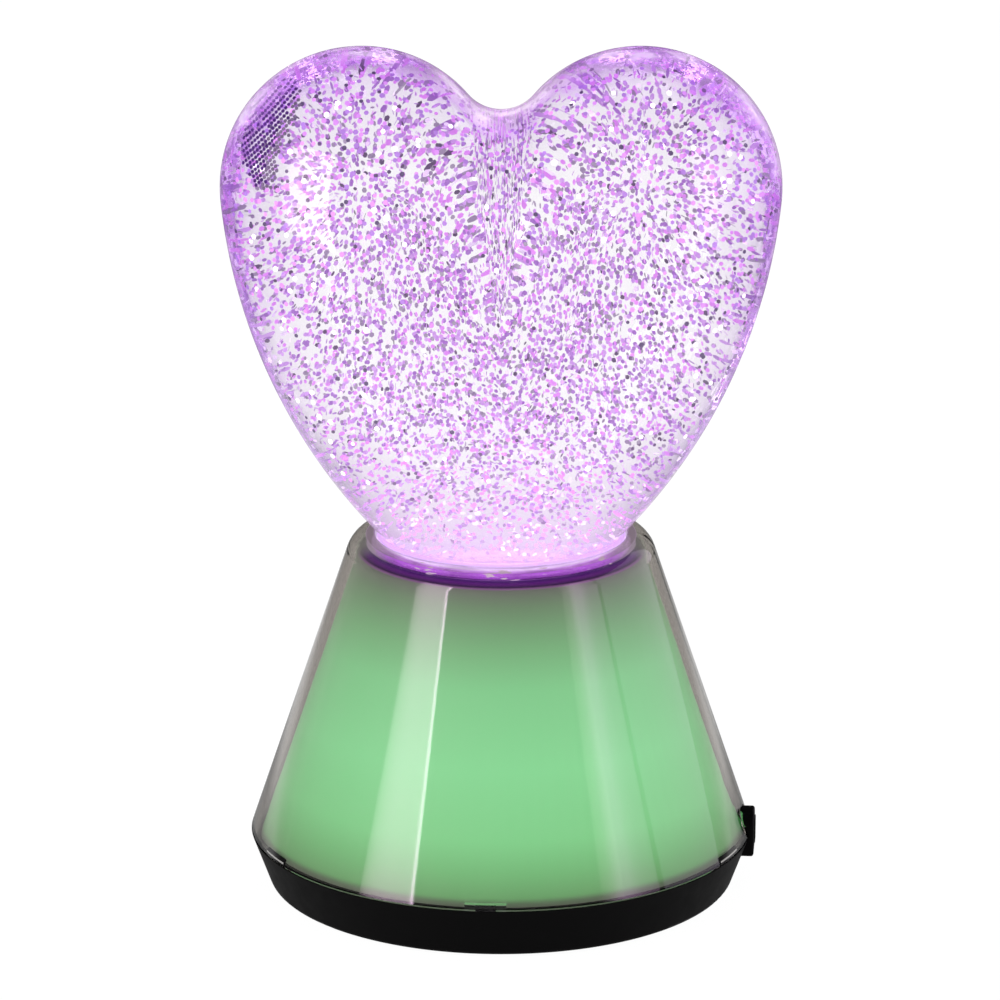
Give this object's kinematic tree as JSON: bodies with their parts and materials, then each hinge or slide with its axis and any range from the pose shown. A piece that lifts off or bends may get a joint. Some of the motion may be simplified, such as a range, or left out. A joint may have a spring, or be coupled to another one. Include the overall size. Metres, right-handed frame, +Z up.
{
  "type": "heart glitter lamp",
  "caption": "Liquid-filled clear heart with glitter on a smoked cone that is lit from inside; a magnetic stirrer moves the liquid.",
  "frame": {"origin": "on the surface the lamp stands on, under the middle of the base", "axes": "+Z up through the middle of the heart, front of the heart towards -Y, switch towards +X"},
  "size_m": [0.1498, 0.138, 0.2319],
  "materials": {
    "clear_plastic": "clear, polished",
    "liquid": "clear liquid with glitter",
    "plug_plastic": "clear",
    "seal_rubber": "silicone",
    "seat_plastic": "translucent white",
    "pin_steel": "ground",
    "white_plastic": "moulded white",
    "magnet": "nickel plated",
    "motor_case": "plated",
    "board": "white solder mask",
    "led": "white",
    "frosted_plastic": "frosted, lit green",
    "smoked_plastic": "smoked, polished",
    "black_plastic": "satin black",
    "contact_metal": "nickel plated",
    "cell_case": "plain sleeve",
    "foot_rubber": "matt",
    "screw_steel": "zinc plated"
  },
  "bodies": {
    "lamp": {"heart_globe": "clear_plastic", "liquid_fill": "liquid", "globe_plug": "plug_plastic", "globe_seal": "seal_rubber", "globe_seat": "seat_plastic", "stirrer_pin": "pin_steel", "pin_cap": "white_plastic", "light_deck": "white_plastic", "motor": "motor_case", "lamp_board": "board", "control_board": "board", "lamp_led_1": "led", "lamp_led_2": "led", "lamp_led_3": "led", "lamp_led_4": "led", "lamp_led_5": "led", "lamp_led_6": "led", "cone_led_1": "led", "cone_led_2": "led", "cone_led_3": "led", "cone_led_4": "led", "cone_led_5": "led", "cone_led_6": "led", "diffuser": "frosted_plastic", "outer_shell": "smoked_plastic", "base_pan": "black_plastic", "battery_box": "black_plastic", "switch_housing": "black_plastic", "contact_left": "contact_metal", "contact_right": "contact_metal", "cell_1": "cell_case", "cell_2": "cell_case", "cell_3": "cell_case", "foot_1": "foot_rubber", "foot_2": "foot_rubber", "foot_3": "foot_rubber", "foot_4": "foot_rubber", "base_screw_1": "screw_steel", "base_screw_2": "screw_steel", "base_screw_3": "screw_steel", "deck_screw_1": "screw_steel", "deck_screw_2": "screw_steel", "deck_screw_3": "screw_steel", "motor_screw_1": "screw_steel", "motor_screw_2": "screw_steel"},
    "switch_button": {"switch_button": "black_plastic"},
    "rotor": {"rotor_shaft": "pin_steel", "magnet_holder": "white_plastic", "rotor_magnet_1": "magnet", "rotor_magnet_2": "magnet"},
    "stirrer": {"stirrer": "white_plastic", "stirrer_magnet_1": "magnet", "stirrer_magnet_2": "magnet"},
    "battery_door": {"battery_door": "black_plastic"}
  },
  "joints": [
    {"name": "switch_press", "type": "slide", "parent": "lamp", "child": "switch_button", "axis": [0.9965, -0.0837, 0], "range_m": [0, 0.0018]},
    {"name": "rotor_spin", "type": "hinge", "parent": "lamp", "child": "rotor", "pos_m": [0, 0, 0.068], "axis": [0, 0, 1], "continuous": true},
    {"name": "stirrer_spin", "type": "hinge", "parent": "lamp", "child": "stirrer", "pos_m": [0, 0, 0.085], "axis": [0, 0, 1], "continuous": true},
    {"name": "battery_door_swing", "type": "hinge", "parent": "lamp", "child": "battery_door", "pos_m": [0.03005, 0, 0.0005], "axis": [0, -1, 0], "range_deg": [0, 60]}
  ],
  "couplings": [
    {"joint": "stirrer_spin", "follows": "rotor_spin", "ratio": 1}
  ]
}
